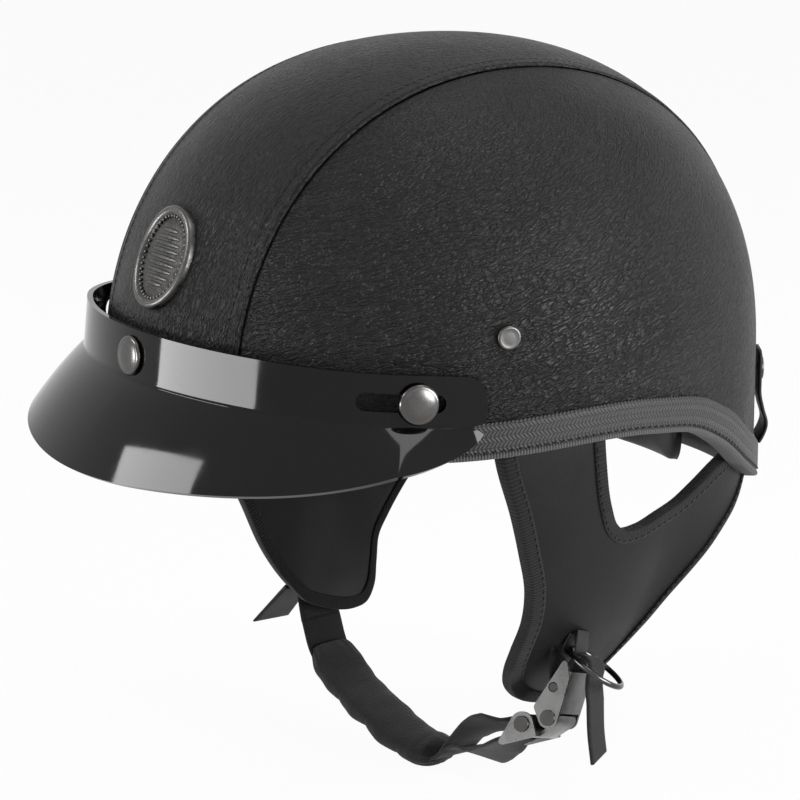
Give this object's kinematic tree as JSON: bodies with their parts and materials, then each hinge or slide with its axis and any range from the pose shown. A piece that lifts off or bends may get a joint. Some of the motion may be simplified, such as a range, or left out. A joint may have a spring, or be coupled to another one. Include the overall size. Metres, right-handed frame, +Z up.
{
  "type": "half shell motorcycle helmet",
  "caption": "Leather-covered half shell motorcycle helmet with a press-studded peak, ear flaps, a quick-release chin strap and goggle keepers.",
  "frame": {"origin": "centre of the head opening, at the level where the shell is widest, where the head's forehead band line would be", "axes": "+Z up through the crown, -Y forward over the peak, +X to the wearer's left, where the buckle is"},
  "size_m": [0.2376, 0.3089, 0.3069],
  "materials": {
    "shell_black": "matt",
    "leather_black": "pebbled grain, satin",
    "trim_black": "herringbone grain, satin",
    "foam_black": "matt",
    "lining_grey": "brushed cloth",
    "pad_black": "cloth",
    "nickel": "polished",
    "gunmetal": "satin",
    "peak_black": "gloss",
    "flap_grey": "smooth",
    "binding_black": "ribbed",
    "webbing_black": "woven"
  },
  "bodies": {
    "shell": {"hard_shell": "shell_black", "leather_centre_panel": "leather_black", "leather_left_panel": "leather_black", "leather_right_panel": "leather_black", "seam_folds": "leather_black", "rim_trim": "trim_black", "eps_liner": "foam_black", "comfort_liner": "lining_grey", "strap_anchors": "gunmetal", "nape_pad": "pad_black", "left_strap_rivet": "nickel", "right_strap_rivet": "nickel", "front_badge": "nickel", "front_snap_stud": "nickel", "left_snap_stud": "nickel", "left_snap_socket": "nickel", "left_snap_cap": "nickel", "left_flap_leather": "flap_grey", "left_flap_lining": "lining_grey", "left_flap_binding": "binding_black", "left_flap_hem": "pad_black", "left_keeper_stud": "nickel", "right_snap_stud": "nickel", "right_snap_socket": "nickel", "right_snap_cap": "nickel", "right_flap_leather": "flap_grey", "right_flap_lining": "lining_grey", "right_flap_binding": "binding_black", "right_flap_hem": "pad_black", "right_keeper_stud": "nickel", "strap_bar": "gunmetal", "left_strap": "webbing_black", "ring_tab": "flap_grey", "right_strap_root": "webbing_black", "right_tongue": "flap_grey"},
    "peak_body": {"peak": "peak_black", "front_snap_socket": "nickel", "front_snap_cap": "nickel"},
    "left_keeper_body": {"left_keeper": "leather_black", "left_keeper_snap": "nickel"},
    "right_keeper_body": {"right_keeper": "leather_black", "right_keeper_snap": "nickel"},
    "ring_body": {"keeper_ring": "gunmetal"},
    "lever_body": {"release_lever": "gunmetal", "latch_pin": "nickel"},
    "chin_body": {"chin_webbing": "webbing_black", "chin_pad": "pad_black", "pivot_pin": "nickel"},
    "buckle_body": {"buckle_frame": "gunmetal"}
  },
  "joints": [
    {"name": "peak_slide", "type": "slide", "parent": "shell", "child": "peak_body", "axis": [0, -0.9936, 0.1132], "range_m": [0, 0.0032]},
    {"name": "left_keeper_hinge", "type": "hinge", "parent": "shell", "child": "left_keeper_body", "pos_m": [0.06144, 0.12222, -0.0424], "axis": [-0.8105, 0.5858, 0], "range_deg": [0, 80]},
    {"name": "right_keeper_hinge", "type": "hinge", "parent": "shell", "child": "right_keeper_body", "pos_m": [-0.06144, 0.12222, -0.0424], "axis": [-0.8105, -0.5858, 0], "range_deg": [0, 80]},
    {"name": "keeper_ring_swivel", "type": "hinge", "parent": "shell", "child": "ring_body", "pos_m": [0.08244, 0.0068, -0.10347], "axis": [0.4001, -0.8402, 0.3661], "range_deg": [-6, 12]},
    {"name": "release_lever_hinge", "type": "hinge", "parent": "shell", "child": "lever_body", "pos_m": [0.08321, 0.00089, -0.11788], "axis": [-0.4001, 0.8402, -0.3661], "range_deg": [0, 25]},
    {"name": "chin_strap_swing", "type": "hinge", "parent": "shell", "child": "chin_body", "pos_m": [-0.07598, -0.0043, -0.134], "axis": [0, 1, 0], "range_deg": [0, 45]},
    {"name": "buckle_frame_tilt", "type": "hinge", "parent": "chin_body", "child": "buckle_body", "pos_m": [0.07688, -0.00865, -0.13285], "axis": [-0.4001, 0.8402, -0.3661], "range_deg": [0, 35]}
  ]
}
